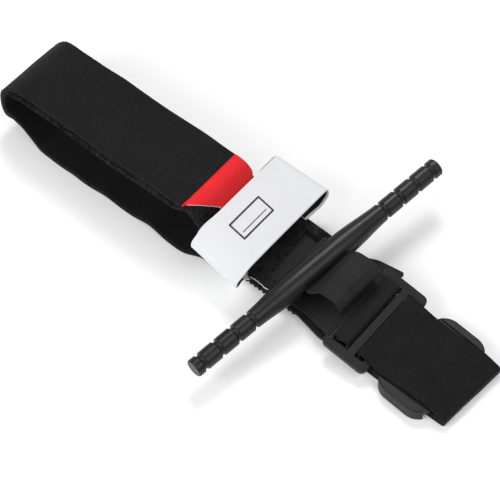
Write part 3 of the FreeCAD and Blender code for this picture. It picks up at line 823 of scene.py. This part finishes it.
def make_strap():
    """The white strap and the hook lining inside it."""
    def relief(distance, t):
        edge = 0.05 * ease(abs(t), 0.92, 0.95)
        return edge + 0.10 * noise.noise(Vector((distance * 0.05, t * 0.8, 7.7)))

    samples = route(STRAP_POINTS, STRAP_RADII, STRAP_STEP)
    obj = strip("writing_strap", samples, STRAP_HALF, STRAP_T, on_strap, lambda x: 0.0, relief, across=36)
    dress(obj, WHITE, "white_fabric", "writing_strap", "strap_root")
    strap_direction(-19)
    strap_direction(-12)
    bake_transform(obj)

    def middle(x):
        return -0.7 * ease(x, 8, 24)

    inner = [(p - n * (STRAP_T + LINING_GAP), n, d) for p, n, d in samples if p.y > -16]
    lining = strip("strap_lining", inner, STRAP_HALF - 0.3, 0.6, on_strap, middle, relief, across=36)
    dress(lining, HOOK, "hook_black", "strap_lining")
    strap_direction(-19)
    strap_direction(-12)
    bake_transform(lining)


def make_strap_root_edge():
    """Frayed white cut edge of the strap that shows beside the plate."""
    samples = []
    for i in range(19):
        distance = 0.6 * i
        x = 17.0 + distance
        z = 5.5 + 0.35 * noise.noise(Vector((x * 1.3, 4.2, 0)))
        samples.append((Vector((x, z)), Vector((0, 1)), distance))

    def middle(x):
        return -18.2 + 0.8 * noise.noise(Vector((x * 0.7, 0.4, 9)))

    obj = strip("strap_root_edge", samples, 0.2, 0.35, lean, middle, across=4)
    dress(obj, WHITE, "white_fabric", "strap_root")
    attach(obj, "base")


def make_writing_field():
    """Printed on the strap: a plain ruled box to write in."""
    proud = 0.12
    top = [(p.x, p.y) for p, n, d in route(STRAP_POINTS, STRAP_RADII, STRAP_STEP) if n.y > 0.7]

    def height(y):
        for (x0, h0), (x1, h1) in zip(top, top[1:]):
            if x0 <= y <= x1:
                return h0 + (h1 - h0) * (y - x0) / (x1 - x0) + proud
        return proud

    def bar(y0, y1, w0, w1):
        n = 16
        start = len(verts)
        for i in range(n + 1):
            y = y0 + (y1 - y0) * i / n
            for w, deep in ((w0, 0), (w1, 0), (w1, 0.2), (w0, 0.2)):
                verts.append(on_strap(Vector((y, w, height(y) - deep))))
        for i in range(n):
            a = start + 4 * i
            for k in range(4):
                m = (k + 1) % 4
                faces.append((a + k, a + 4 + k, a + 4 + m, a + m))
        faces.append((start, start + 1, start + 2, start + 3))
        last = start + 4 * n
        faces.append((last + 3, last + 2, last + 1, last))

    verts, faces = [], []
    line = 0.8
    y0, y1, w0, w1 = -13.0, 8.0, -6.5, 3.5
    bar(y0, y1, w0, w0 + line)
    bar(y0, y1, w1 - line, w1)
    bar(y0, y0 + line, w0 + line, w1 - line)
    bar(y1 - line, y1, w0 + line, w1 - line)
    bar(y0 + 2.4, y1 - 2.4, w1 - 3.2, w1 - 2.8)
    obj = new_object("writing_field", verts, faces)
    dress(obj, RULE, "white_fabric")
    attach(obj, "strap")


# ---- stitching --------------------------------------------------------------------------------
def row(place, p, q, count, fill=0.66):
    """Ends of a row of stitches from p to q on the surface that place gives."""
    p, q = Vector(p), Vector(q)
    out = []
    for i in range(count):
        a = p + (q - p) * ((i + (1 - fill) / 2) / count)
        b = p + (q - p) * ((i + (1 + fill) / 2) / count)
        out.append((place(a), place(b)))
    return out


def sew(name, rows, material, slot, radius):
    """Stitches that ride on the base and stand for the CAD node of the same name."""
    obj = tube_stitches(name, rows, radius)
    dress(obj, material, slot, name)
    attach(obj, "base")


def make_stitching():
    """Rows of stitches of the red end, the base webbing, the slit and the buckle's loop."""

    top = LOOP_H + 0.05
    rows = []
    for x in (TIP_X - 3.2, TIP_X - 1.5):
        y = band_y(x)
        rows += row(lie, (x, y - 18, top), (x, y + 18, top), 16)
    sew("tip_stitching", rows, THREAD, "thread_black", 0.16)
    web_top = WEB_Z + WEB_T + 0.08
    rows = []
    for side in (-1, 1):
        y = BASE_Y + side * (BAND_HALF - 2.2)
        rows += row(lean_low, (SLIT_X + 1, y, web_top), (WEB_X1 - 1, y, web_top), 13)
    sew("base_stitching", rows, THREAD, "thread_black", 0.2)
    x = SLIT_X - 1.3
    y = band_y(x)
    rows = row(lie, (x, y - 17.5, 8.15), (x, y + 17.5, 8.15), 18)
    sew("slit_stitching", rows, THREAD, "thread_black", 0.2)
    rows = []
    for x in (BUCKLE_X + 2.2, BUCKLE_X + 3.8):
        z = BUCKLE_Z + LOOP_END_Z - 0.132 * (x - BUCKLE_X - LOOP_END_X) + 0.05
        rows += row(lean_low, (x, BUCKLE_Y - 17, z), (x, BUCKLE_Y + 17, z), 16)
    sew("loop_stitching", rows, THREAD, "thread_black", 0.2)


def make_hidden_stitching():
    """Bar tacks of the clip, under the tail, and the box stitch of the strap's sewn end."""
    def on_clip(p):
        c, s = math.cos(CLIP_YAW), math.sin(CLIP_YAW)
        return Vector((CLIP_X + p.x * c - p.y * s, CLIP_Y + p.x * s + p.y * c, p.z))

    rows = []
    for x in (-9.0, 9.0):
        for y in (-10.0, 10.0):
            for i in range(5):
                dx = x - 2.2 + 1.1 * i
                rows += row(on_clip, (dx, y - 4, 6.8), (dx, y + 4, 6.8), 1, 1.0)
    sew("clip_bartacks", rows, THREAD, "thread_black", 0.24)
    x0, x1, y0, y1, z = 6.0, 16.0, -17.6, -6.6, 5.85
    corners = [(x0, y0, z), (x1, y0, z), (x1, y1, z), (x0, y1, z)]
    rows = []
    for i in range(4):
        rows += row(lean, corners[i], corners[(i + 1) % 4], 4, 0.55)
    sew("strap_stitching", rows, PALE_THREAD, "thread_white", 0.24)


make_tail_band()
make_tail_lap()
make_main_band()
make_sleeve_rims()
make_red_tip()
make_base_web()
make_buckle_loop()
make_ribbon()
make_strap()
make_strap_root_edge()
make_writing_field()
make_stitching()
make_hidden_stitching()
dress_node("windlass_rod", ROD)
dress_node("friction_buckle", BUCKLE)
dress_node("windlass_clip", BUCKLE)
dress_node("stabilization_plate", PLATE)


# ---- floor and light -----------------------------------------------------------------------
def make_floor():
    """White floor that the object lies on."""
    half = FLOOR_HALF
    corners = [(-half, -half, 0), (half, -half, 0), (half, half, 0), (-half, half, 0)]
    obj = new_object("floor", corners, [(0, 1, 2, 3)], smooth=False)
    shade = Shade("floor_white")
    shade.set(Base_Color=(0.93, 0.93, 0.93, 1), Roughness=0.7)
    shade.set(Emission_Color=(1, 1, 1, 1), Emission_Strength=FLOOR_GLOW)
    obj.data.materials.append(shade.material)


def area_light(name, place, size, power):
    """Round light that faces the middle of the floor."""
    data = bpy.data.lights.new(name, "AREA")
    data.shape = "DISK"
    data.size = size
    data.energy = power
    obj = bpy.data.objects.new(name, data)
    obj.location = place
    obj.rotation_mode = "QUATERNION"
    obj.rotation_quaternion = (-Vector(place)).to_track_quat("-Z", "Y")
    bpy.context.scene.collection.objects.link(obj)


def make_light():
    """White surroundings and three lights."""
    world = bpy.data.worlds.new("studio")
    world.use_nodes = True
    background = world.node_tree.nodes["Background"]
    background.inputs[0].default_value = (1, 1, 1, 1)
    background.inputs[1].default_value = WORLD_STRENGTH
    bpy.context.scene.world = world
    for light in LIGHTS:
        area_light(*light)
    bpy.context.scene.view_settings.view_transform = "Standard"


make_floor()
make_light()
